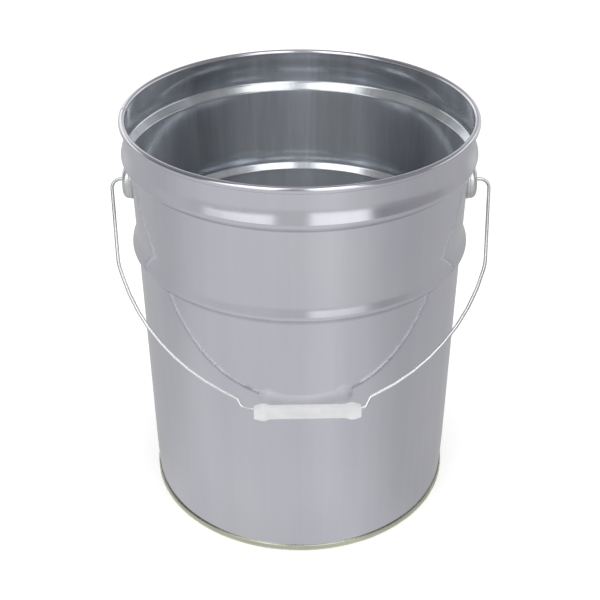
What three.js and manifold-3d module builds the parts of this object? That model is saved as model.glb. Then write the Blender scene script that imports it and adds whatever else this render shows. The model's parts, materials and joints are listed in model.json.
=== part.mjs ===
// Open-top 20 litre tinplate pail: a seam-welded body with a rolled rim and two stiffening
// beads, a double-seamed bottom, two welded ears and a wire bail with a loose plastic grip.
// Millimetres, +Z up. The pail stands on z = 0 with its axis on the Z axis, the ears lie on
// the X axis and the bail hangs down against the front of the wall, towards -Y.
import * as THREE from 'three';
import { mergeVertices } from 'three/addons/utils/BufferGeometryUtils.js';
import Module from 'manifold-3d';

const wasm = await Module();
wasm.setup();

// ---------- driving dimensions ----------
const HEIGHT = 365;
const SHEET = 0.36; // tinplate thickness, body and bottom alike
const AROUND = 48; // facets round the pail, shared by every concentric piece
const ARC_STEP = THREE.MathUtils.degToRad(32); // coarsest turn between two points of a bend

// Rolled rim: a curl of sheet turned outwards at the top of the neck.
const RIM_R = 150.2;
const CURL_D = 5.6;
const CURL_TURN = THREE.MathUtils.degToRad(288);

// Outer surface of the wall, radius then height then bend radius, from the seam to the neck.
const WALL_FOOT = [138.26, 8, 0];
const WALL_LOW = [138.6, 18, 20];
const WALL_FLARE = [139.2, 37, 40];
const LOWER_CREASE = [141.75, 244.6, 2];
const LOWER_BEAD = [146.8, 250.2, 3];
const LOWER_BEAD_TOP = [142.2, 262, 32];
const UPPER_CREASE = [143.4, 326.6, 2.5];
const UPPER_BEAD = [150.8, 332.6, 3.6];
const UPPER_BEAD_TOP = [145.4, 346.5, 44];

// Double seam that joins the wall to the bottom: five sheets lie side by side in it.
const SEAM_R = 139.7;
const SEAM_H = 5.8;
const SEAM_GAP = 0.12; // clearance between neighbouring sheets
const PITCH = SHEET + SEAM_GAP;
const seamLayer = (k) => SEAM_R - SHEET / 2 - k * PITCH; // 0 is the outermost sheet's middle
const BODY_FOLD_Z = SHEET / 2 + PITCH;
const BODY_HOOK_TIP_Z = 4.9;
const END_HOOK_TIP_Z = 2.4;
const COMPOUND_GAP = 0.1; // between the sealing ring and the sheets round it

// Bottom panel, raised inside the seam, with one stamped ring to stiffen it.
const PANEL_Z = 7.6;
const PANEL_CORNER = 1.6;
const PANEL_RING_R = 108;
const PANEL_RING_W = 14;
const PANEL_RING_H = 2;

// Ears: drawn cups on the X axis, cut to fit the wall.
const EAR_Z = 298.6;
const EAR_R = 14.3;
const EAR_FACE_X = 151.8;
const EAR_EDGE = 4.4; // rounding between the cup's side and its face
const EAR_SHEET = 0.9;
const EAR_COLLAR_R = 14.8;
const EAR_COLLAR_X = 145.6;
const EAR_ROOT_X = 138; // before the cup is cut to the wall
const EAR_WALL_GAP = 0.3;
const EAR_HOLE_R = 2.2;
const EAR_AROUND = 32;

// Bail: round wire that turns about the line between the two holes.
const PIVOT_Z = 301;
const WIRE_R = 1.5;
const HEAD_R = 3.6;
const HEAD_T = 1.6;
const HEAD_X = 147.4;
// The two ends of the straight middle of the wire, the left one a little lower.
const STRAIGHT_LEFT = [-39.5, 201, 6];
const STRAIGHT_RIGHT = [53.4, 199.5, 4];
// The wire's centreline in its own plane, from the left ear to the right one: x, distance from the
// pivot line, bend radius. Like most hand-hung bails it leans a few millimetres to one side.
const WIRE_ROUTE = [
  [-HEAD_X, 0, 0],
  [-162.4, 0, 7.5],
  [-153, 76.5, 40],
  [-124.9, 154, 178],
  [-50.6, 192.4, 4],
  [-47.2, 198.9, 4],
  STRAIGHT_LEFT,
  STRAIGHT_RIGHT,
  [58, 190.4, 4],
  [131.7, 155.1, 178],
  [156.6, 76.5, 40],
  [163.6, 0, 7.5],
  [HEAD_X, 0, 0],
];
const WIRE_STEP = THREE.MathUtils.degToRad(15); // largest turn between two rings of the wire

// Grip: a loose plastic sleeve that hangs on the straight middle of the wire.
const GRIP_L = 87.4;
const GRIP_R = 5.9;
const GRIP_END_R = 5.3;
const GRIP_BULGE_R = 7.25;
const GRIP_BULGE_AT = 7.7; // from the end of the grip to the widest place
const GRIP_BULGE_L = 14;
const GRIP_BORE_R = 4.5;
const GRIP_BORE_GAP = 0.1; // between the wire and the top of the bore that rests on it
const GRIP_X = 6.5;
const GRIP_WALL_GAP = 0.3;
const GRIP_WALL_Z = 162; // height at which the grip meets the wall
const GRIP_AROUND = 20;

// ---------- outlines ----------
const at = (x, y) => new THREE.Vector2(x, y);

// Points of a bend that turns `turn` radians about `centre`, starting at `start`.
function arc(centre, start, turn, step = ARC_STEP) {
  const steps = Math.max(1, Math.ceil(Math.abs(turn) / step));
  return Array.from({ length: steps + 1 }, (_, k) =>
    start.clone().rotateAround(centre, (turn * k) / steps));
}

// A polyline through corners [x, y, bend radius], with each corner rounded by its radius.
function rounded(corners, step = ARC_STEP) {
  const points = [];
  corners.forEach(([x, y, radius], i) => {
    const corner = at(x, y);
    if (!radius || i === 0 || i === corners.length - 1) {
      points.push(corner);
      return;
    }
    const into = corner.clone().sub(at(...corners[i - 1])).normalize();
    const out = at(...corners[i + 1]).sub(corner).normalize();
    const turn = Math.atan2(into.cross(out), into.dot(out));
    const start = corner.clone().addScaledVector(into, -radius * Math.tan(Math.abs(turn) / 2));
    const side = at(-into.y, into.x).multiplyScalar(Math.sign(turn) * radius);
    points.push(...arc(start.clone().add(side), start, turn, step));
  });
  return points;
}

// The polyline moved sideways to its left by `distance`, with mitred corners.
function offset(points, distance) {
  return points.map((point, i) => {
    const before = points[Math.max(i - 1, 0)];
    const after = points[Math.min(i + 1, points.length - 1)];
    const into = (i ? point.clone().sub(before) : after.clone().sub(point)).normalize();
    const out = (after === point ? into : after.clone().sub(point)).clone().normalize();
    const along = into.clone().add(out).normalize();
    const reach = distance / along.dot(into);
    return point.clone().add(at(-along.y, along.x).multiplyScalar(reach));
  });
}

// Closed outline of a sheet whose middle follows `points`.
function sheetOutline(points) {
  const left = offset(points, SHEET / 2);
  const right = offset(points, -SHEET / 2).reverse();
  return [...left, ...right];
}

// ---------- solids ----------
// Turns a closed outline (x = radius, y = height) about the Z axis, with its faces pointing out.
function revolve(outline, segments = AROUND) {
  const points = THREE.ShapeUtils.isClockWise(outline) ? outline.slice().reverse() : outline.slice();
  if (points.every((p) => p.x > 1e-6)) points.push(points[0].clone());
  return new THREE.LatheGeometry(points, segments).rotateX(Math.PI / 2);
}

function toSolid(geometry) {
  const bare = geometry.clone();
  bare.deleteAttribute('normal');
  bare.deleteAttribute('uv');
  const merged = mergeVertices(bare);
  const corners = merged.index.array;
  const triangles = [];
  for (let i = 0; i < corners.length; i += 3) {
    const [a, b, c] = corners.slice(i, i + 3);
    if (a !== b && b !== c && c !== a) triangles.push(a, b, c); // drops slivers at a lathe's pole
  }
  const vertProperties = Float32Array.from(merged.attributes.position.array);
  const triVerts = Uint32Array.from(triangles);
  return new wasm.Manifold(new wasm.Mesh({ numProp: 3, vertProperties, triVerts }));
}

function toGeometry(solid) {
  const { vertProperties, triVerts } = solid.getMesh();
  const geometry = new THREE.BufferGeometry();
  geometry.setAttribute('position', new THREE.BufferAttribute(Float32Array.from(vertProperties), 3));
  geometry.setIndex(new THREE.BufferAttribute(Uint32Array.from(triVerts), 1));
  geometry.computeVertexNormals();
  return geometry;
}

// ---------- body ----------
const inward = ([r, z, bend]) => [r - SHEET / 2, z, bend]; // outer surface to middle of the sheet

function curlPoints() {
  const bend = (CURL_D - SHEET) / 2;
  const centre = at(RIM_R - CURL_D / 2, HEIGHT - CURL_D / 2);
  return arc(centre, at(centre.x - bend, centre.y), -CURL_TURN);
}

function bodyShell() {
  const hook = [
    [seamLayer(1), BODY_HOOK_TIP_Z, 0],
    [seamLayer(1), BODY_FOLD_Z + PITCH, 0],
    [seamLayer(2), BODY_FOLD_Z, 0],
    [seamLayer(3), BODY_FOLD_Z + PITCH, 0],
  ];
  const wall = [
    WALL_FOOT, WALL_LOW, WALL_FLARE, LOWER_CREASE, LOWER_BEAD, LOWER_BEAD_TOP,
    UPPER_CREASE, UPPER_BEAD, UPPER_BEAD_TOP,
  ].map(inward);
  const curl = curlPoints();
  const path = rounded([...hook, ...wall, [curl[0].x, curl[0].y, 0]]);
  return revolve(sheetOutline([...path.slice(0, -1), ...curl]));
}

// ---------- bottom ----------
function bottomEnd() {
  const outer = seamLayer(0);
  const chuck = seamLayer(4);
  const ringMiddle = PANEL_RING_R;
  const ringFoot = PANEL_RING_W / 2;
  const ringCrown = ringFoot - 1.5 * PANEL_RING_H;
  const path = rounded([
    [0, PANEL_Z, 0],
    [ringMiddle - ringFoot, PANEL_Z, 0],
    [ringMiddle - ringCrown, PANEL_Z + PANEL_RING_H, 0],
    [ringMiddle + ringCrown, PANEL_Z + PANEL_RING_H, 0],
    [ringMiddle + ringFoot, PANEL_Z, 0],
    [chuck, PANEL_Z, PANEL_CORNER],
    [chuck, BODY_FOLD_Z + SEAM_GAP, 0],
    [chuck + PITCH, SHEET / 2, 0],
    [outer - PITCH, SHEET / 2, 0],
    [outer, BODY_FOLD_Z + SEAM_GAP, 0],
    [outer, SEAM_H - SHEET / 2 - PITCH, 0],
    [seamLayer(1), SEAM_H - SHEET / 2, 0],
    [seamLayer(2), SEAM_H - SHEET / 2 - PITCH, 0],
    [seamLayer(2), END_HOOK_TIP_Z, 0],
  ]);
  const outline = sheetOutline(path);
  outline[0].x = 0;
  outline[outline.length - 1].x = 0;
  return revolve(outline);
}

// Ring of sealing compound in the fold below the end hook's tip.
function seamCompound() {
  const inner = seamLayer(3) + SHEET / 2 + COMPOUND_GAP;
  const outer = seamLayer(1) - SHEET / 2 - COMPOUND_GAP;
  const low = BODY_FOLD_Z + PITCH;
  const high = END_HOOK_TIP_Z - COMPOUND_GAP;
  return revolve([at(inner, low), at(outer, low), at(outer, high), at(inner, high)]);
}

// ---------- ears ----------
const wallRadiusAt = (z) => THREE.MathUtils.mapLinear(
  z, LOWER_BEAD_TOP[1], UPPER_CREASE[1], LOWER_BEAD_TOP[0], UPPER_CREASE[0]);

// What the wall takes out of the back of an ear, a little larger than the wall itself.
function wallCutter() {
  const low = EAR_Z - 2 * EAR_R;
  const high = EAR_Z + 1.8 * EAR_R;
  const lowR = wallRadiusAt(low) + EAR_WALL_GAP;
  const highR = wallRadiusAt(high) + EAR_WALL_GAP;
  return toSolid(revolve([at(0, low), at(lowR, low), at(highR, high), at(0, high)]));
}

function earHole() {
  const hole = new THREE.CylinderGeometry(EAR_HOLE_R, EAR_HOLE_R, 4 * EAR_EDGE, 24);
  return toSolid(hole.rotateZ(Math.PI / 2).translate(EAR_FACE_X, 0, PIVOT_Z));
}

function ear(side) {
  const edge = arc(at(EAR_R - EAR_EDGE, EAR_FACE_X - EAR_EDGE),
    at(EAR_R, EAR_FACE_X - EAR_EDGE), Math.PI / 2);
  const inside = offset(edge, EAR_SHEET).reverse();
  const cup = revolve([
    at(0, EAR_FACE_X - EAR_SHEET), ...inside, at(EAR_R - EAR_SHEET, EAR_ROOT_X),
    at(EAR_COLLAR_R, EAR_ROOT_X), at(EAR_COLLAR_R, EAR_COLLAR_X), ...edge, at(0, EAR_FACE_X),
  ], EAR_AROUND);
  const solid = toSolid(cup.rotateY(Math.PI / 2).translate(0, 0, EAR_Z));
  const cut = solid.subtract(wallCutter()).subtract(earHole());
  return toGeometry(side > 0 ? cut : cut.rotate([0, 0, 180]));
}

// ---------- bail and grip ----------
const gripReach = THREE.MathUtils.mapLinear(
  GRIP_X, STRAIGHT_LEFT[0], STRAIGHT_RIGHT[0], STRAIGHT_LEFT[1], STRAIGHT_RIGHT[1]);
const wallAtGrip = THREE.MathUtils.mapLinear(
  GRIP_WALL_Z, WALL_FLARE[1], LOWER_CREASE[1], WALL_FLARE[0], LOWER_CREASE[0]);
const gripY = -(wallAtGrip + GRIP_R + GRIP_WALL_GAP);
const BAIL_TILT = Math.asin(-gripY / gripReach); // from straight down, towards -Y
const GRIP_HANG = GRIP_BORE_R - WIRE_R - GRIP_BORE_GAP; // from the wire's middle to the grip's

// A point of the bail's own plane, in the frame.
const onBail = (x, reach) => new THREE.Vector3(
  x, -reach * Math.sin(BAIL_TILT), PIVOT_Z - reach * Math.cos(BAIL_TILT));

// A curve that steps from one given point to the next, so that an extrusion has one ring at each.
class StepCurve extends THREE.Curve {
  constructor(points) {
    super();
    this.points = points;
  }

  getPoint(t) {
    const place = THREE.MathUtils.clamp(t, 0, 1) * (this.points.length - 1);
    const i = Math.min(Math.floor(place), this.points.length - 2);
    return this.points[i].clone().lerp(this.points[i + 1], place - i);
  }

  getPointAt(u) {
    return this.getPoint(u);
  }

  getTangentAt(u) {
    return this.getTangent(u);
  }
}

function bailWire() {
  const route = rounded(WIRE_ROUTE, WIRE_STEP).map((p) => onBail(p.x, p.y));
  const section = new THREE.Shape().absarc(0, 0, WIRE_R, 0, 2 * Math.PI);
  const wire = new THREE.ExtrudeGeometry(section, {
    curveSegments: 8, steps: route.length - 1, extrudePath: new StepCurve(route),
  });
  const head = (side) => toSolid(new THREE.CylinderGeometry(HEAD_R, HEAD_R, HEAD_T, 20)
    .rotateZ(Math.PI / 2).translate(side * HEAD_X, 0, PIVOT_Z));
  return toGeometry(toSolid(wire).add(head(1)).add(head(-1)));
}

function grip() {
  const half = GRIP_L / 2;
  const bulge = new THREE.SplineCurve([
    at(GRIP_END_R, half),
    at(GRIP_END_R + 0.7, half - 0.8),
    at(GRIP_BULGE_R - 0.4, half - GRIP_BULGE_AT / 2),
    at(GRIP_BULGE_R, half - GRIP_BULGE_AT),
    at(GRIP_R, half - GRIP_BULGE_L),
  ]).getPoints(8);
  const otherEnd = bulge.map((p) => at(p.x, -p.y)).reverse();
  const outline = [at(GRIP_BORE_R, half), ...bulge, ...otherEnd, at(GRIP_BORE_R, -half)];
  const sleeve = revolve(outline, GRIP_AROUND);
  const straight = onBail(...STRAIGHT_RIGHT).sub(onBail(...STRAIGHT_LEFT)).normalize();
  const lean = new THREE.Quaternion().setFromUnitVectors(new THREE.Vector3(1, 0, 0), straight);
  const middle = onBail(GRIP_X, gripReach);
  return sleeve.rotateY(Math.PI / 2).applyQuaternion(lean)
    .translate(middle.x, middle.y, middle.z - GRIP_HANG);
}

// ---------- assembly ----------
const metal = (color, roughness) => new THREE.MeshStandardMaterial({ color, roughness, metalness: 1 });
const tinplate = metal(0xb4b6be, 0.3);
const lacquered = metal(0xa39d72, 0.35);
const earSteel = metal(0xb2b6b6, 0.35);
const wireSteel = metal(0xc4c6c8, 0.35);
const sealant = new THREE.MeshStandardMaterial({ color: 0x6b6f66, roughness: 0.9, metalness: 0 });
const plastic = new THREE.MeshStandardMaterial({ color: 0xe6e6e8, roughness: 0.45, metalness: 0 });

function part(name, geometry, material) {
  const mesh = new THREE.Mesh(geometry, material);
  mesh.name = name;
  return mesh;
}

const pail = new THREE.Group();
pail.add(
  part('body_shell', bodyShell(), tinplate),
  part('bottom_end', bottomEnd(), lacquered),
  part('seam_compound', seamCompound(), sealant),
  part('left_ear', ear(-1), earSteel),
  part('right_ear', ear(1), earSteel),
  part('bail_wire', bailWire(), wireSteel),
  part('grip', grip(), plastic),
);

export default pail;
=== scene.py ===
"""Looks of an open 20 litre tinplate pail with a wire bail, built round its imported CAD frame.

Everything is in metres in the frame's own axes: +Z up, ears on the X axis, bail hanging towards -Y.
"""
import json
import math

import bpy
from mathutils import Matrix, Vector, noise


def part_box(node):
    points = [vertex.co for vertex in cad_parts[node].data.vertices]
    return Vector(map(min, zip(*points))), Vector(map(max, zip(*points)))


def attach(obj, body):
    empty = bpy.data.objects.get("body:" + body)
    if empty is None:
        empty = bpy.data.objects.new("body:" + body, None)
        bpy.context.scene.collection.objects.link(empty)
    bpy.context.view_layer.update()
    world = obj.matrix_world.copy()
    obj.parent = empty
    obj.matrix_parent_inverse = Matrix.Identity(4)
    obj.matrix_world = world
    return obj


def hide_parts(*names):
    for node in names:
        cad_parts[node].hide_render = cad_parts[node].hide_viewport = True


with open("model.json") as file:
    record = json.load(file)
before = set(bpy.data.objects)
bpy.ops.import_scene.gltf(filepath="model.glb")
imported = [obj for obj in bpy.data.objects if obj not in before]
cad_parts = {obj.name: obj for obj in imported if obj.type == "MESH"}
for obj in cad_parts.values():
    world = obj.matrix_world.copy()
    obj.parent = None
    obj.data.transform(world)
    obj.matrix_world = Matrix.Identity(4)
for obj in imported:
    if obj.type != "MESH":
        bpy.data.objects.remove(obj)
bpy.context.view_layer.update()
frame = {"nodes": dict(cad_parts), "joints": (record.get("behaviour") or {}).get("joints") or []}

MM = 0.001


# ---------- places taken from the frame ----------
BODY_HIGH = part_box("body_shell")[1]
END_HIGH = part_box("bottom_end")[1]
EAR_LOW, EAR_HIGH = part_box("right_ear")
JOINTS = {joint["name"]: joint for joint in frame["joints"]}
PIVOT_Z = JOINTS["bail_swing"]["pos_m"][2]
GRIP_AXIS = Vector(JOINTS["grip_spin"]["pos_m"])

HEIGHT = BODY_HIGH.z
RIM_R = BODY_HIGH.x
SEAM_R = END_HIGH.x


# ---------- sizes of the sheet metal ----------
SHEET = 0.36 * MM
CURL_D = 5.6 * MM
CURL_TURN = math.radians(288)
# Outer surface of the wall: radius, height, bend radius, in millimetres.
WALL = [
    (138.26, 8, 0),
    (138.6, 18, 20),
    (139.2, 37, 40),
    (141.75, 244.6, 2),
    (146.8, 250.2, 3),
    (142.2, 262, 32),
    (143.4, 326.6, 2.5),
    (150.8, 332.6, 3.6),
    (145.4, 346.5, 44),
]
BELOW_BEADS, BETWEEN_BEADS = 2, 5  # rows of WALL where two straight stretches start
# Where the beads are, for their unevenness: from, to and how softly, in metres.
BEADS = [(0.248, 0.262, 0.004), (0.330, 0.349, 0.005)]
SEAM_H = 5.8 * MM
SEAM_GAP = 0.12 * MM
PITCH = SHEET + SEAM_GAP
BODY_FOLD_Z = SHEET / 2 + PITCH
BODY_HOOK_TIP_Z = 4.9 * MM
END_HOOK_TIP_Z = 2.4 * MM
PANEL_Z = 7.6 * MM
WELD_AZIMUTH = math.radians(179.5)
WELD_HALF = 0.8  # half the width of the lap, in degrees
WELD_RISE = 0.16 * MM
SLIT_HALF = 0.3  # half the width of the slit in the curl, in degrees
SLIT_DEPTH = 0.7 * MM


def wall_radius(z, stretch):
    """Outer radius of the wall on the straight stretch that starts at that row of WALL."""
    (r0, z0, _), (r1, z1, _) = WALL[stretch:stretch + 2]
    return (r0 + (r1 - r0) * (z / MM - z0) / (z1 - z0)) * MM


def seam_layer(k):
    """Radius of the middle of sheet k in the double seam, counted from the outside."""
    return SEAM_R - SHEET / 2 - k * PITCH


# ---------- outlines ----------
def arc(centre, start, turn, step):
    """Points from start, turned about centre by turn radians in equal steps no larger than step."""
    count = max(1, math.ceil(abs(turn) / step))
    away = Vector(start) - Vector(centre)
    points = []
    for k in range(count + 1):
        angle = turn * k / count
        x = away.x * math.cos(angle) - away.y * math.sin(angle)
        y = away.x * math.sin(angle) + away.y * math.cos(angle)
        points.append(Vector((centre[0] + x, centre[1] + y)))
    return points


def rounded(corners, step=math.radians(6)):
    """A polyline through corners (x, y, bend radius), each corner rounded by its radius."""
    points = []
    for i, (x, y, radius) in enumerate(corners):
        corner = Vector((x, y))
        if not radius or i in (0, len(corners) - 1):
            points.append(corner)
            continue
        into = (corner - Vector(corners[i - 1][:2])).normalized()
        out = (Vector(corners[i + 1][:2]) - corner).normalized()
        turn = math.atan2(into.x * out.y - into.y * out.x, into.dot(out))
        start = corner - into * (radius * math.tan(abs(turn) / 2))
        side = Vector((-into.y, into.x)) * math.copysign(radius, turn)
        points += arc(start + side, start, turn, step)
    return points


def split_long(points, longest):
    """The same polyline with every stretch cut into pieces no longer than longest."""
    out = [points[0]]
    for a, b in zip(points, points[1:]):
        count = max(1, math.ceil((b - a).length / longest))
        out += [a.lerp(b, k / count) for k in range(1, count + 1)]
    return out


def offset(points, distance):
    """The polyline moved to its left by distance, with mitred corners."""
    moved = []
    for i, point in enumerate(points):
        into = (point - points[i - 1]) if i else (points[1] - point)
        out = (points[i + 1] - point) if i + 1 < len(points) else into
        into, out = into.normalized(), out.normalized()
        along = (into + out).normalized()
        moved.append(point + Vector((-along.y, along.x)) * (distance / along.dot(into)))
    return moved


def sheet_outline(points):
    """Closed outline of a sheet whose middle follows points."""
    return offset(points, SHEET / 2) + offset(points, -SHEET / 2)[::-1]


def soft_step(value, low, high):
    t = min(1.0, max(0.0, (value - low) / (high - low)))
    return t * t * (3 - 2 * t)


def between(value, low, high, soft):
    """1 from low to high, fading to 0 over soft on either side."""
    return soft_step(value, low - soft, low + soft) * (1 - soft_step(value, high - soft, high + soft))


# ---------- meshes ----------
def quad(i, j, k, q, count):
    """The face between points k and q of rings i and j, each ring having count points."""
    return (i * count + k, i * count + q, j * count + q, j * count + k)


def new_object(name, verts, faces, uvs=None):
    mesh = bpy.data.meshes.new(name)
    mesh.from_pydata([tuple(v) for v in verts], [], faces)
    mesh.validate()
    if uvs is not None:
        layer = mesh.uv_layers.new(name="sheet")
        for loop, uv in zip(layer.data, uvs):
            loop.uv = uv
    mesh.polygons.foreach_set("use_smooth", [True] * len(mesh.polygons))
    obj = bpy.data.objects.new(name, mesh)
    bpy.context.scene.collection.objects.link(obj)
    return obj


def azimuths(count, fine_at=None):
    """Azimuths round the pail, with extra ones close to fine_at."""
    angles = [2 * math.pi * k / count for k in range(count)]
    if fine_at is not None:
        near = [0.05, 0.12, 0.2, 0.32, 0.45, 0.6, 0.8, 1.0, 1.35, 1.8]
        extra = [fine_at + sign * math.radians(a) for a in near for sign in (-1, 1)]
        reach = math.radians(near[-1] + 0.3)
        angles = [a for a in angles if abs(a - fine_at) > reach] + extra + [fine_at]
    return sorted(a % (2 * math.pi) for a in angles)


def lathe(name, outline, angles, shape=None, first_angle=0.0):
    """Turns a closed outline of (radius, height) about Z. shape moves (azimuth, radius, height).

    An outline that starts and ends on the axis closes there. The UV map unrolls the sheet in
    metres: distance round from first_angle, then distance along the outline.
    """
    on_axis = outline[0].x < 1e-9
    rings = outline[1:-1] if on_axis else outline
    area = sum(a.x * b.y - b.x * a.y for a, b in zip(outline, outline[1:] + outline[:1]))
    if area < 0:
        rings = rings[::-1]
        outline = outline[::-1]
    n, m = len(rings), len(angles)
    verts = []
    for p in rings:
        for a in angles:
            r, z = shape(a, p.x, p.y) if shape else (p.x, p.y)
            verts.append((r * math.cos(a), r * math.sin(a), z))
    along = [0.0]
    for a, b in zip(rings, rings[1:] + rings[:1]):
        along.append(along[-1] + (b - a).length)
    mean_r = sum(p.x for p in rings) / n
    round_at = [((a - first_angle) % (2 * math.pi)) * mean_r for a in angles]
    faces, uvs = [], []
    spans = n - 1 if on_axis else n
    for i in range(spans):
        j = (i + 1) % n
        for k in range(m):
            q = (k + 1) % m
            u0, u1 = round_at[k], round_at[q]
            if u1 < u0:
                u1 += 2 * math.pi * mean_r
            faces.append(quad(i, j, k, q, m))
            v0, v1 = along[i], along[i + 1]
            uvs += [(u0, v0), (u1, v0), (u1, v1), (u0, v1)]
    if on_axis:
        for i, pole, flip in ((0, outline[0], False), (n - 1, outline[-1], True)):
            verts.append((0, 0, pole.y))
            tip = len(verts) - 1
            for k in range(m):
                q = (k + 1) % m
                corners = (tip, i * m + q, i * m + k)
                faces.append(corners[::-1] if flip else corners)
                uvs += [(0, 0)] * 3
    return new_object(name, verts, faces, uvs)


def tube(name, route, radius, sides):
    """A round tube along route (points in a plane through the X direction), with flat ends."""
    verts, faces, uvs, distance = [], [], [], []
    normal = None
    at = 0.0
    for i, point in enumerate(route):
        before = route[max(i - 1, 0)]
        after = route[min(i + 1, len(route) - 1)]
        along = (after - before).normalized()
        if normal is None:
            normal = along.orthogonal().normalized()
        normal = (normal - along * normal.dot(along)).normalized()
        across = along.cross(normal)
        if i:
            at += (point - before).length
        distance.append(at)
        for k in range(sides):
            t = 2 * math.pi * k / sides
            verts.append(point + normal * (radius * math.cos(t)) + across * (radius * math.sin(t)))
    for i in range(len(route) - 1):
        for k in range(sides):
            q = (k + 1) % sides
            faces.append(quad(i, i + 1, k, q, sides))
            u0, u1 = k / sides, (k + 1) / sides
            v0, v1 = distance[i], distance[i + 1]
            uvs += [(u0, v0), (u1, v0), (u1, v1), (u0, v1)]
    last = (len(route) - 1) * sides
    faces.append(tuple(range(sides))[::-1])
    faces.append(tuple(range(last, last + sides)))
    uvs += [(0, 0)] * (2 * sides)
    return new_object(name, verts, faces, uvs)


# ---------- pieces ----------
def wall_shape(azimuth, radius, height):
    """Slight unevenness of the wall, the lapped weld and the slit it leaves in the curl."""
    x, y = radius * math.cos(azimuth), radius * math.sin(azimuth)
    wave = noise.noise(Vector((x * 14, y * 14, height * 9)))
    fine = noise.noise(Vector((x * 40 + 7, y * 40, height * 30)))
    # the unevenness dies out towards the seam and towards the curl
    from_seam = min(1.0, max(0.0, (height - 12 * MM) / (30 * MM)))
    from_curl = min(1.0, max(0.0, (HEIGHT - 8 * MM - height) / (20 * MM)))
    fade = from_seam * from_curl
    moved = fade * (0.07 * wave + 0.012 * fine) * MM
    on_bead = sum(between(height, *bead) for bead in BEADS)
    moved += on_bead * 0.06 * MM * noise.noise(Vector((x * 75, y * 75, height * 60)))
    off = math.degrees(abs(azimuth - WELD_AZIMUTH))
    if height > HEIGHT - CURL_D * 0.98 and off < SLIT_HALF:
        moved -= SLIT_DEPTH * (1 - off / SLIT_HALF)
    elif off < WELD_HALF:
        moved += WELD_RISE * min(1.0, (WELD_HALF - off) / 0.2)
    return radius + moved, height


def body_shell():
    """The wall in one sheet: its hook in the double seam, two beads and the curled rim."""
    hook = [
        (seam_layer(1), BODY_HOOK_TIP_Z, 0),
        (seam_layer(1), BODY_FOLD_Z + PITCH, 0),
        (seam_layer(2), BODY_FOLD_Z, PITCH * 0.6),
        (seam_layer(3), BODY_FOLD_Z + PITCH, 0),
    ]
    wall = [(r * MM - SHEET / 2, z * MM, bend * MM) for r, z, bend in WALL]
    bend = (CURL_D - SHEET) / 2
    centre = (RIM_R - CURL_D / 2, HEIGHT - CURL_D / 2)
    curl = arc(centre, (centre[0] - bend, centre[1]), -CURL_TURN, math.radians(9))
    path = rounded(hook + wall + [(curl[0].x, curl[0].y, 0)])
    path = split_long(path, 9 * MM)[:-1] + curl
    piece = lathe("body_sheet", sheet_outline(path), azimuths(300, WELD_AZIMUTH), wall_shape, WELD_AZIMUTH)
    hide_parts("body_shell")
    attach(piece, "pail")
    return piece


def bottom_end():
    """The bottom sheet: a panel with a shallow raised ring, its upright edge and the seam's outer fold."""
    outer, chuck = seam_layer(0), seam_layer(4)
    ring, half, rise = 108 * MM, 7 * MM, 2 * MM
    path = rounded([
        (0, PANEL_Z, 0),
        (ring - half, PANEL_Z, 3 * MM),
        (ring - half + 1.5 * rise, PANEL_Z + rise, 3 * MM),
        (ring + half - 1.5 * rise, PANEL_Z + rise, 3 * MM),
        (ring + half, PANEL_Z, 3 * MM),
        (chuck, PANEL_Z, 1.6 * MM),
        (chuck, SHEET / 2, 0.75 * MM),
        (outer, SHEET / 2, 0.75 * MM),
        (outer, SEAM_H - SHEET / 2, 0.45 * MM),
        (seam_layer(2), SEAM_H - SHEET / 2, 0.45 * MM),
        (seam_layer(2), END_HOOK_TIP_Z, 0),
    ], math.radians(14))
    outline = sheet_outline(split_long(path, 12 * MM))
    outline[0].x = outline[-1].x = 0
    piece = lathe("bottom_panel", outline, azimuths(240))
    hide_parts("bottom_end")
    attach(piece, "pail")
    return piece


EAR_Z = (EAR_LOW.z + EAR_HIGH.z) / 2
EAR_FACE_X = EAR_HIGH.x
EAR_COLLAR_R = (EAR_HIGH.z - EAR_LOW.z) / 2
EAR_R = EAR_COLLAR_R - 0.5 * MM
EAR_EDGE = 4.4 * MM
EAR_SHEET = 0.9 * MM
EAR_HOLE_R = 2.2 * MM
EAR_COLLAR_X = 145.6 * MM


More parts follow.
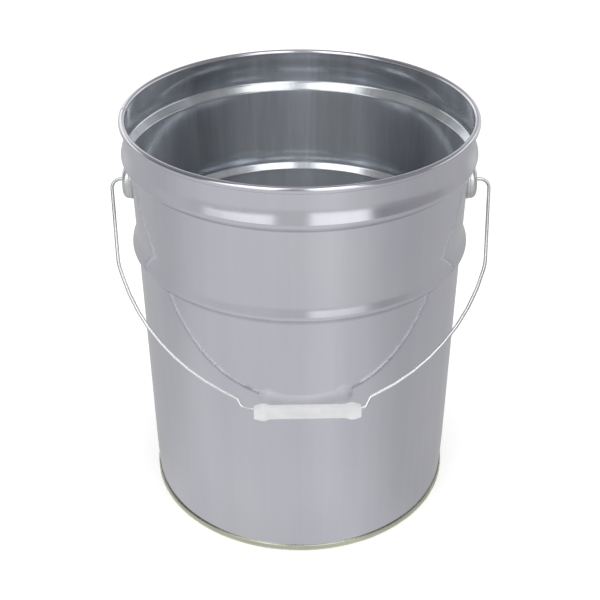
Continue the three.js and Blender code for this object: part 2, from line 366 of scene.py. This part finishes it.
def ear(side, name, node):
    """A drawn cup whose root follows the wall, with the wire's hole a little above its middle."""
    sides = 96
    edge = arc((EAR_R - EAR_EDGE, EAR_FACE_X - EAR_EDGE), (EAR_R, EAR_FACE_X - EAR_EDGE),
               math.pi / 2, math.radians(7))
    inside = offset(edge, EAR_SHEET)[::-1]
    lift = EAR_COLLAR_R - EAR_R
    step = arc((EAR_COLLAR_R - lift, EAR_COLLAR_X - lift), (EAR_COLLAR_R, EAR_COLLAR_X - lift),
               math.pi / 2, math.radians(22))
    outer = [Vector((EAR_COLLAR_R, 0))] + step + [Vector((EAR_R, EAR_COLLAR_X + 0.4 * MM))] + edge
    inner = inside + [Vector((EAR_R - EAR_SHEET, EAR_COLLAR_X))]
    hole = Vector((0, PIVOT_Z - EAR_Z))
    # rows are (ring centre offset, ring radius, x); x None follows the wall
    rows = [(0.0, p.x, p.y if p.y else None) for p in outer]
    for share in (0.35, 0.7, 0.93, 1.0):
        r = (EAR_R - EAR_EDGE) * (1 - share) + EAR_HOLE_R * share
        dip = 0.25 * MM if share == 1.0 else 0
        rows.append((hole.y * share, r, EAR_FACE_X - dip))
    rows.append((hole.y, EAR_HOLE_R, EAR_FACE_X - EAR_SHEET + 0.2 * MM))
    rows.append((hole.y * 0.9, EAR_HOLE_R + 0.25 * MM, EAR_FACE_X - EAR_SHEET))
    rows += [(0.0, p.x, p.y) for p in inner]
    rows.append((0.0, EAR_R - EAR_SHEET, None))
    verts, faces = [], []
    for lift_z, r, x in rows:
        for k in range(sides):
            t = 2 * math.pi * k / sides
            y, z = r * math.cos(t), EAR_Z + lift_z + r * math.sin(t)
            depth = math.sqrt(wall_radius(z, BETWEEN_BEADS) ** 2 - y * y) + 0.05 * MM if x is None else x
            verts.append((side * depth, side * y, z))
    n = len(rows)
    for i in range(n):
        j = (i + 1) % n
        for k in range(sides):
            q = (k + 1) % sides
            faces.append(quad(i, j, k, q, sides))
    piece = new_object(name, verts, faces)
    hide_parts(node)
    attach(piece, "pail")
    return piece


WIRE_R = 1.5 * MM
HEAD_X, HEAD_R, HEAD_T = 147.4 * MM, 3.6 * MM, 1.6 * MM
# The wire's centreline in its own plane, from the left ear to the right one, in millimetres:
# x, distance from the pivot line and bend radius.
WIRE_ROUTE = [
    (-147.4, 0, 0),
    (-162.34, 0, 7.5),
    (-153, 76.5, 40),
    (-124.9, 154, 178),
    (-50.6, 192.4, 4),
    (-47.2, 198.9, 4),
    (-39.5, 201, 6),
    (53.4, 199.5, 4),
    (58, 190.4, 4),
    (131.7, 155.1, 178),
    (156.6, 76.5, 40),
    (163.56, 0, 7.5),
    (147.4, 0, 0),
]
GRIP_BORE_R = 4.5 * MM
GRIP_HANG = GRIP_BORE_R - WIRE_R - 0.1 * MM


def bail_wire():
    """The bent wire with a head at either end, hanging where the grip is in the frame."""
    flat = rounded([(x * MM, s * MM, bend * MM) for x, s, bend in WIRE_ROUTE])
    flat = split_long(flat, 4 * MM)
    drop = Vector((0, GRIP_AXIS.y, GRIP_AXIS.z + GRIP_HANG - PIVOT_Z)).normalized()
    route = [Vector((p.x, 0, PIVOT_Z)) + drop * p.y for p in flat]
    piece = tube("bail_rod", route, WIRE_R, 24)
    join(piece, [wire_head(side) for side in (-1, 1)])
    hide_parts("bail_wire")
    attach(piece, "bail")
    return piece


def wire_head(side):
    """The upset, slightly domed head that keeps the wire in its ear."""
    r, t = HEAD_R, HEAD_T
    corners = [(0, -t / 2), (r * 0.8, -t / 2), (r, -t / 4), (r, t / 4), (r * 0.8, t / 2), (0, t / 2)]
    piece = lathe("wire_head", [Vector(corner) for corner in corners], azimuths(32))
    place = Matrix.Translation((side * HEAD_X, 0, PIVOT_Z))
    piece.data.transform(place @ Matrix.Rotation(math.pi / 2, 4, "Y"))
    return piece


def join(main, others):
    """Adds the other objects' meshes to main's."""
    with bpy.context.temp_override(active_object=main, selected_editable_objects=[main] + others):
        bpy.ops.object.join()


def grip():
    """White sleeve, bulged near both ends, with a moulding line along two sides."""
    half, r, bulge_r, bore = 43.7 * MM, 5.9 * MM, 7.25 * MM, GRIP_BORE_R
    end_r, bulge_at, bulge_l, edge = 5.7 * MM, 7.7 * MM, 14 * MM, 0.35 * MM
    ends = [
        (bore, half - 2.2 * MM),
        (bore + 0.1 * MM, half - 0.4 * MM),
        (bore + 0.3 * MM, half),
        (end_r - edge, half),
        (end_r, half - edge),
    ]
    count = 24
    for k in range(1, count + 1):
        x = edge + (bulge_l - edge) * k / count
        if x < bulge_at:
            swell = math.sin(math.pi / 2 * x / bulge_at) ** 1.3
            ends.append((end_r + (bulge_r - end_r) * swell, half - x))
        else:
            fall = (1 + math.cos(math.pi * (x - bulge_at) / (bulge_l - bulge_at))) / 2
            ends.append((r + (bulge_r - r) * fall, half - x))
    one = [Vector(p) for p in ends]
    other = [Vector((p.x, -p.y)) for p in one][::-1]
    outline = split_long(one + other, 3 * MM)

    def moulded(azimuth, radius, height):
        if radius < end_r - 0.5 * MM:
            return radius, height
        off = abs(math.sin(azimuth)) * radius
        ridge = 0.08 * MM * max(0.0, 1 - off / (0.35 * MM))
        place = Vector((height * 60, math.cos(azimuth), math.sin(azimuth)))
        return radius - 0.06 * MM + ridge + 0.05 * MM * noise.noise(place), height

    piece = lathe("grip_sleeve", outline, azimuths(72), moulded)
    along = Vector(JOINTS["grip_spin"]["axis"]).normalized()
    turn = Vector((0, 0, 1)).rotation_difference(along).to_matrix().to_4x4()
    piece.data.transform(Matrix.Translation(GRIP_AXIS) @ turn)
    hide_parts("grip")
    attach(piece, "grip_sleeve")
    return piece


# ---------- materials ----------
class Nodes:
    """A material's node tree, with the few steps that the materials here share."""

    def __init__(self, name):
        self.material = bpy.data.materials.new(name)
        self.material.use_nodes = True
        self.tree = self.material.node_tree
        self.tree.nodes.clear()
        self.shader = self.add("ShaderNodeBsdfPrincipled")
        output = self.add("ShaderNodeOutputMaterial")
        self.link(self.shader, "BSDF", output, "Surface")

    def add(self, kind, **values):
        node = self.tree.nodes.new(kind)
        for key, value in values.items():
            if hasattr(node, key):
                setattr(node, key, value)
            else:
                node.inputs[key].default_value = value
        return node

    def link(self, a, out, b, socket):
        self.tree.links.new(a.outputs[out], b.inputs[socket])

    def noise(self, source, out, scale, stretch=(1, 1, 1), detail=3.0):
        """Noise over coordinates that are first scaled by stretch."""
        mapping = self.add("ShaderNodeMapping")
        mapping.inputs["Scale"].default_value = stretch
        self.link(source, out, mapping, "Vector")
        texture = self.add("ShaderNodeTexNoise", Scale=scale, Detail=detail)
        self.link(mapping, "Vector", texture, "Vector")
        return texture

    def tint(self, source, out, scale, dark, light, ends=(0.35, 0.65)):
        """Colours the surface from dark to light by a broad noise."""
        ramp = self.ramp(self.noise(source, out, scale), "Fac", list(zip(ends, (dark, light))))
        self.link(ramp, "Color", self.shader, "Base Color")

    def mapped(self, texture, low, high, darkest=0.3, lightest=0.7):
        """A texture's middle range, from darkest to lightest, spread from low to high."""
        node = self.add("ShaderNodeMapRange")
        for name, value in (("From Min", darkest), ("From Max", lightest), ("To Min", low), ("To Max", high)):
            node.inputs[name].default_value = value
        self.link(texture, "Fac", node, "Value")
        return node

    def spread(self, texture, low, high, socket, darkest=0.3, lightest=0.7):
        """Feeds a texture to a shader socket, spread as mapped does."""
        self.link(self.mapped(texture, low, high, darkest, lightest), "Result", self.shader, socket)

    def times(self, a, b):
        """The product of two colour or value outputs."""
        node = self.add("ShaderNodeMix", data_type="RGBA", blend_type="MULTIPLY")
        node.inputs["Factor"].default_value = 1.0
        self.tree.links.new(a, node.inputs[6])
        self.tree.links.new(b, node.inputs[7])
        return node.outputs[2]

    def bump(self, texture, strength, distance):
        """Raises the surface by the texture, distance metres at most."""
        node = self.add("ShaderNodeBump", Strength=strength, Distance=distance)
        self.link(texture, "Fac", node, "Height")
        self.link(node, "Normal", self.shader, "Normal")

    def ramp(self, node, out, stops):
        ramp = self.add("ShaderNodeValToRGB")
        self.link(node, out, ramp, "Fac")
        elements = ramp.color_ramp.elements
        while len(elements) < len(stops):
            elements.new(0.5)
        for element, (place, colour) in zip(elements, stops):
            element.position = place
            element.color = (*colour, 1) if len(colour) == 3 else colour
        return ramp


CREASE_SHADE = 0.72  # painted shade: how bright the sheet is drawn in a crease, next to the sheet around it


def grey(value):
    return (value, value, value)


def painted_crease_shade(make):
    """Painted shade: thin duller lines drawn in the creases under both beads."""
    place = make.add("ShaderNodeTexCoord")
    parts = make.add("ShaderNodeSeparateXYZ")
    make.link(place, "Object", parts, "Vector")
    level = make.add("ShaderNodeMapRange")
    level.inputs["From Max"].default_value = HEIGHT
    make.link(parts, "Z", level, "Value")
    stops = [(0.0, grey(1.0))]
    for crease in (WALL[3], WALL[6]):
        z = crease[1] * MM - 0.2 * MM
        for step, value in ((-1.0, 1.0), (-0.3, CREASE_SHADE), (0.3, CREASE_SHADE), (1.0, 1.0)):
            stops.append(((z + step * MM) / HEIGHT, grey(value)))
    return make.ramp(level, "Result", stops)


def tinplate(name, dark, light, metal, rough, streak, flat=False):
    """Tinned sheet: faint mottling, with a fine grain and broader streaks along the height.

    streak says how strongly the streaks change the tone. flat is for a sheet that lies level: its
    grain and streaks run along Y.
    """
    make = Nodes(name)
    sheet = make.add("ShaderNodeTexCoord") if flat else make.add("ShaderNodeUVMap", uv_map="sheet")
    axes = "Object" if flat else "UV"
    tint = make.noise(sheet, axes, 9.0, (1, 0.5, 1), 2.0)
    colour = make.ramp(tint, "Fac", [(0.35, dark), (0.65, light)])
    broad = make.noise(sheet, axes, 20.0, (1, 0.04, 1), 5.0)
    broad.inputs["Roughness"].default_value = 0.62
    level = make.mapped(broad, 1 - streak, 1.0, 0.38, 0.62)
    streaked = make.times(colour.outputs["Color"], level.outputs["Result"])
    # painted shade: the colour is darkened along the creases under the beads
    crease_shaded = make.times(streaked, painted_crease_shade(make).outputs["Color"])
    make.tree.links.new(crease_shaded, make.shader.inputs["Base Color"])
    grain = make.noise(sheet, axes, 320.0, (1, 0.06, 1), 3.0)
    make.spread(grain, *rough, "Roughness")
    make.bump(grain, 0.12, 0.04 * MM)
    make.shader.inputs["Metallic"].default_value = metal
    return make.material


def lacquer():
    """Pale gold-green lacquer over tinplate, slightly uneven in gloss."""
    make = Nodes("gold_lacquer")
    place = make.add("ShaderNodeTexCoord")
    make.tint(place, "Object", 40.0, (0.62, 0.63, 0.51), (0.70, 0.71, 0.58))
    runs = make.noise(place, "Object", 55.0, (1, 1, 0.4), 4.0)
    make.spread(runs, 0.24, 0.38, "Roughness")
    make.bump(runs, 0.1, 0.1 * MM)
    make.shader.inputs["Metallic"].default_value = 1.0
    return make.material


def compound():
    """Dull, lumpy rubber compound in the double seam."""
    make = Nodes("sealing_compound")
    place = make.add("ShaderNodeTexCoord")
    make.tint(place, "Object", 300.0, (0.12, 0.13, 0.12), (0.18, 0.19, 0.17))
    lumps = make.noise(place, "Object", 700.0, (1, 1, 1), 4.0)
    make.spread(lumps, 0.7, 0.9, "Roughness")
    make.bump(lumps, 0.5, 0.2 * MM)
    return make.material


def ear_steel():
    """Plated pressed steel, with fine draw lines along its sides and slight changes of tone."""
    make = Nodes("ear_steel")
    place = make.add("ShaderNodeTexCoord")
    make.tint(place, "Object", 110.0, (0.70, 0.73, 0.72), (0.78, 0.81, 0.80))
    lines = make.noise(place, "Object", 900.0, (0.08, 1, 1), 2.0)
    make.spread(lines, 0.28, 0.38, "Roughness")
    make.bump(lines, 0.12, 0.04 * MM)
    make.shader.inputs["Metallic"].default_value = 1.0
    return make.material


def wire_steel():
    """Bright drawn wire: a fine grain in its gloss and slight changes of tone."""
    make = Nodes("bail_steel")
    uv = make.add("ShaderNodeUVMap", uv_map="sheet")
    place = make.add("ShaderNodeTexCoord")
    make.tint(place, "Object", 30.0, (0.71, 0.72, 0.72), (0.77, 0.78, 0.78), (0.4, 0.6))
    grain = make.noise(uv, "UV", 40.0, (1, 0.4, 1), 2.0)
    make.spread(grain, 0.22, 0.28, "Roughness")
    make.shader.inputs["Metallic"].default_value = 1.0
    return make.material


def white_plastic():
    """Slightly translucent white plastic with fine scuffs along the grip."""
    make = Nodes("white_plastic")
    place = make.add("ShaderNodeTexCoord")
    make.tint(place, "Object", 90.0, (0.68, 0.68, 0.69), (0.73, 0.73, 0.74))
    scuffs = make.noise(place, "Object", 260.0, (0.25, 1, 1), 5.0)
    make.spread(scuffs, 0.34, 0.5, "Roughness", 0.4, 0.7)
    make.bump(scuffs, 0.25, 0.1 * MM)
    make.shader.inputs["Subsurface Weight"].default_value = 0.3
    make.shader.inputs["Subsurface Radius"].default_value = (1.0, 1.0, 1.0)
    make.shader.inputs["Subsurface Scale"].default_value = 4 * MM
    return make.material


def floor_material():
    """Plain pale floor."""
    make = Nodes("pale_floor")
    make.shader.inputs["Base Color"].default_value = (0.9, 0.9, 0.9, 1)
    make.shader.inputs["Roughness"].default_value = 0.9
    make.shader.inputs["Specular IOR Level"].default_value = 0.1
    make.shader.inputs["Emission Color"].default_value = (1, 1, 1, 1)
    make.shader.inputs["Emission Strength"].default_value = 0.3
    return make.material


# ---------- studio ----------
LENS, SENSOR = 67.68, 36
CAMERA_PLACE = (0.0003, -0.882, 0.724)
CAMERA_DOWN = math.radians(31.75)


def camera():
    """The photograph's view, looking down at the pail."""
    data = bpy.data.cameras.new("camera")
    data.lens, data.sensor_width = LENS, SENSOR
    obj = bpy.data.objects.new("camera", data)
    obj.location = CAMERA_PLACE
    obj.rotation_euler = (math.radians(90) - CAMERA_DOWN, 0, 0)
    bpy.context.scene.collection.objects.link(obj)
    bpy.context.scene.camera = obj


def place_lamp(data, azimuth, elevation, distance, aim):
    """Points a lamp at aim from distance, azimuth counted from the front (-Y) towards +X.

    Glossy surfaces don't mirror the lamps: they mirror the tent.
    """
    obj = bpy.data.objects.new(data.name, data)
    a, e = math.radians(azimuth), math.radians(elevation)
    away = Vector((math.sin(a) * math.cos(e), -math.cos(a) * math.cos(e), math.sin(e)))
    obj.location = Vector(aim) + away * distance
    obj.rotation_euler = (-away).to_track_quat("-Z", "Y").to_euler()
    obj.visible_glossy = False
    bpy.context.scene.collection.objects.link(obj)


def softbox(name, azimuth, elevation, distance, size, power):
    """A square area light aimed at the pail."""
    data = bpy.data.lights.new(name, "AREA")
    data.shape, data.size, data.energy = "SQUARE", size, power
    place_lamp(data, azimuth, elevation, distance, (0, 0, 0.3))


def spotlight(name, azimuth, elevation, distance, power):
    """A soft-edged spot on the far side of the pail's inside."""
    data = bpy.data.lights.new(name, "SPOT")
    data.energy, data.spot_size, data.spot_blend = power, math.radians(9), 1.0
    data.shadow_soft_size = 0.02
    place_lamp(data, azimuth, elevation, distance, (0, 0.135, 0.27))


FLOOR_HALF = 6.0
SHADED_FLOOR_R = 0.19  # inside this radius the floor is a little darker in the metal's reflections
TENT_LEVEL = 0.63  # overall brightness of what the metal mirrors
WALL_LIGHT = 0.85


def glowing(name, strength=1.0, attribute=None):
    """An emission material, its colour from a vertex attribute where one is named."""
    material = bpy.data.materials.new(name)
    material.use_nodes = True
    tree = material.node_tree
    tree.nodes.clear()
    emission = tree.nodes.new("ShaderNodeEmission")
    emission.inputs["Strength"].default_value = strength
    output = tree.nodes.new("ShaderNodeOutputMaterial")
    tree.links.new(emission.outputs["Emission"], output.inputs["Surface"])
    if attribute:
        glow = tree.nodes.new("ShaderNodeAttribute")
        glow.attribute_name = attribute
        tree.links.new(glow.outputs["Color"], emission.inputs["Color"])
        material.cycles.emission_sampling = "NONE"
    return material


def wall_light():
    """The light that the wall throws on the back of the grip: a patch that only matt surfaces see."""
    across, rise, gap = math.radians(20), 36 * MM, 0.08 * MM
    verts, faces = [], []
    count = 16
    for k in range(count + 1):
        angle = -math.pi / 2 + across * (2 * k / count - 1)
        for z in (GRIP_AXIS.z - rise, GRIP_AXIS.z + rise):
            r = wall_radius(z, BELOW_BEADS) + gap
            verts.append((r * math.cos(angle), r * math.sin(angle), z))
    for k in range(count):
        faces.append((2 * k, 2 * k + 2, 2 * k + 3, 2 * k + 1))
    mesh = bpy.data.meshes.new("wall_light")
    mesh.from_pydata(verts, [], faces)
    mesh.materials.append(glowing("wall_light", WALL_LIGHT))
    obj = bpy.data.objects.new("wall_light", mesh)
    bpy.context.scene.collection.objects.link(obj)
    obj.visible_camera = obj.visible_glossy = obj.visible_shadow = obj.visible_transmission = False


def tent_glow(azimuth, elevation):
    """How bright the studio round the pail is, by azimuth from the front towards +X and elevation."""
    behind = soft_step(abs(azimuth), 118, 142) * (1 - soft_step(elevation, 30, 42))
    if elevation <= 0:
        glow = 0.80 + 0.20 * between(azimuth, -75, 38, 22) - 0.06 * between(azimuth, 55, 160, 20)
        glow += 0.07 * between(azimuth, 8, 24, 7)
        return glow + (1.2 - glow) * behind * soft_step(elevation, -16, -7)
    # the walls are brighter at their foot; dim is the elevation where that ends
    low = 0.88 - 0.32 * between(azimuth, 45, 110, 10)
    dim = 5 + 6.5 * (1 - soft_step(azimuth, -60, -50))
    glow = low + (0.45 - 0.15 * between(azimuth, -112, -56, 5) - low) * soft_step(elevation, dim, dim + 4)
    # between the front softboxes, then behind the pail and overhead
    above = soft_step(elevation, 64, 72)
    middle = between(azimuth, -16, 7 + 15 * above, 5)
    glow += (0.85 - glow) * middle * (1 - soft_step(elevation, 20, 30))
    glow += (1.2 - glow) * behind * (1 - soft_step(elevation, 18, 24))
    glow += (0.8 - glow) * max(behind * soft_step(elevation, 18, 24), soft_step(elevation, 66, 80))
    # low lamps behind the pail, left and right
    corners = max(between(azimuth, -172, -112, 6), between(azimuth, 88, 142, 6))
    glow += (2.3 - glow) * corners * between(elevation, 15, 25, 3)
    # the two front softboxes, which widen overhead
    left = between(azimuth, -57 - 32 * above, -15, 3) * soft_step(elevation, 7.3, 9.7)
    right = between(azimuth, 6 + 15 * above, 42 + 50 * above, 3) * soft_step(elevation, 4.3, 6.7)
    panels = max(left, right) * (1 - soft_step(elevation, 78, 86))
    high = 1.7 + 1.5 * soft_step(elevation, 30, 44)
    return glow + (high - glow) * panels


def tent():
    """The studio as the bare metal mirrors it: floor, pale walls, and softboxes left, right and above.

    Neither the camera nor matt surfaces see it.
    """
    eye, near, far, floor = 0.27, SEAM_R + 0.6 * MM, 3.0, 0.0005
    reach = [near, 0.20, *(0.25 + 0.04 * k for k in range(20)), 1.2, 1.5, 2.0, far]
    rows = [(radius, floor) for radius in reach]
    for elevation in [*range(13), 14, 17, 20, 25, 30, 40, 50, 60, 66, 70, 74, 80, 90]:
        e = math.radians(elevation)
        rows.append((far * math.cos(e), eye + far * math.sin(e)))
    turns = 180
    verts, glows, faces = [], [], []
    for radius, z in rows:
        for k in range(turns):
            degrees = 360 * k / turns - 180
            t = math.radians(degrees)
            verts.append((radius * math.sin(t), -radius * math.cos(t), z))
            glow = tent_glow(degrees, math.degrees(math.atan2(z - eye, radius)))
            if z == floor and radius < SHADED_FLOOR_R:
                glow *= 0.95
            glows.append(glow * TENT_LEVEL)
    for i in range(len(rows) - 1):
        for k in range(turns):
            q = (k + 1) % turns
            faces.append(quad(i, i + 1, k, q, turns))
    mesh = bpy.data.meshes.new("tent")
    mesh.from_pydata(verts, [], faces)
    layer = mesh.color_attributes.new("glow", "FLOAT_COLOR", "POINT")
    for item, glow in zip(layer.data, glows):
        item.color = (glow, glow, glow, 1)
    obj = bpy.data.objects.new("tent", mesh)
    bpy.context.scene.collection.objects.link(obj)
    mesh.materials.append(glowing("tent", attribute="glow"))
    obj.visible_camera = obj.visible_diffuse = obj.visible_shadow = obj.visible_transmission = False


def studio():
    """The floor, the even light all round, the lamps and what the metal mirrors."""
    mesh = bpy.data.meshes.new("floor")
    corners = [(x * FLOOR_HALF, y * FLOOR_HALF, 0) for x, y in ((-1, -1), (1, -1), (1, 1), (-1, 1))]
    mesh.from_pydata(corners, [], [(0, 1, 2, 3)])
    floor = bpy.data.objects.new("floor", mesh)
    bpy.context.scene.collection.objects.link(floor)
    floor.data.materials.append(floor_material())
    world = bpy.data.worlds.new("studio")
    bpy.context.scene.world = world
    world.use_nodes = True
    background = world.node_tree.nodes["Background"]
    background.inputs["Color"].default_value = (1, 1, 1, 1)
    background.inputs["Strength"].default_value = 0.72
    tent()
    softbox("softbox_left", -32, 48, 1.9, 1.0, 3)
    softbox("softbox_right", 28, 48, 1.9, 1.0, 3)
    softbox("softbox_top", 0, 86, 2.2, 1.8, 18)
    spotlight("spot_inside", 0, 47, 1.3, 100)
    wall_light()
    bpy.context.scene.view_settings.view_transform = "Standard"


def paint(obj, material):
    obj.data.materials.clear()
    obj.data.materials.append(material)


def inner_side(obj, is_inside):
    """Gives the second material to the faces that look at the contents."""
    for polygon in obj.data.polygons:
        x, y, z = polygon.center
        outward = Vector((x, y, 0)).normalized().dot(polygon.normal)
        if is_inside(outward, polygon.normal.z, z):
            polygon.material_index = 1


# darkest and lightest colour of the tin
OUTER_TIN = ((0.725, 0.730, 0.800), (0.765, 0.768, 0.830))
INNER_TIN = ((0.730, 0.760, 0.815), (0.790, 0.820, 0.860))
INNER_ROUGH = (0.14, 0.19)

camera()
outer_tin = tinplate("tinplate", *OUTER_TIN, metal=1.0, rough=(0.13, 0.17), streak=0.05)
inner_tin = tinplate("tinplate_inside", *INNER_TIN, metal=0.86, rough=INNER_ROUGH, streak=0.26)
sheet = body_shell()
paint(sheet, outer_tin)
sheet.data.materials.append(inner_tin)
inside_from, inside_to = PANEL_Z + 0.9 * MM, HEIGHT - 0.95 * CURL_D
inner_side(sheet, lambda outward, up, z: outward < -0.02 and inside_from < z < inside_to)
end = bottom_end()
paint(end, lacquer())
bottom_tin = tinplate("tinplate_bottom", *INNER_TIN, metal=0.85, rough=INNER_ROUGH, streak=0.15, flat=True)
end.data.materials.append(bottom_tin)
inner_side(end, lambda outward, up, z: up > 0.2 and z > SEAM_H + 0.5 * MM)
paint(frame["nodes"]["seam_compound"], compound())
ear_finish = ear_steel()
paint(ear(-1, "ear_cup_left", "left_ear"), ear_finish)
paint(ear(1, "ear_cup_right", "right_ear"), ear_finish)
paint(bail_wire(), wire_steel())
paint(grip(), white_plastic())
studio()
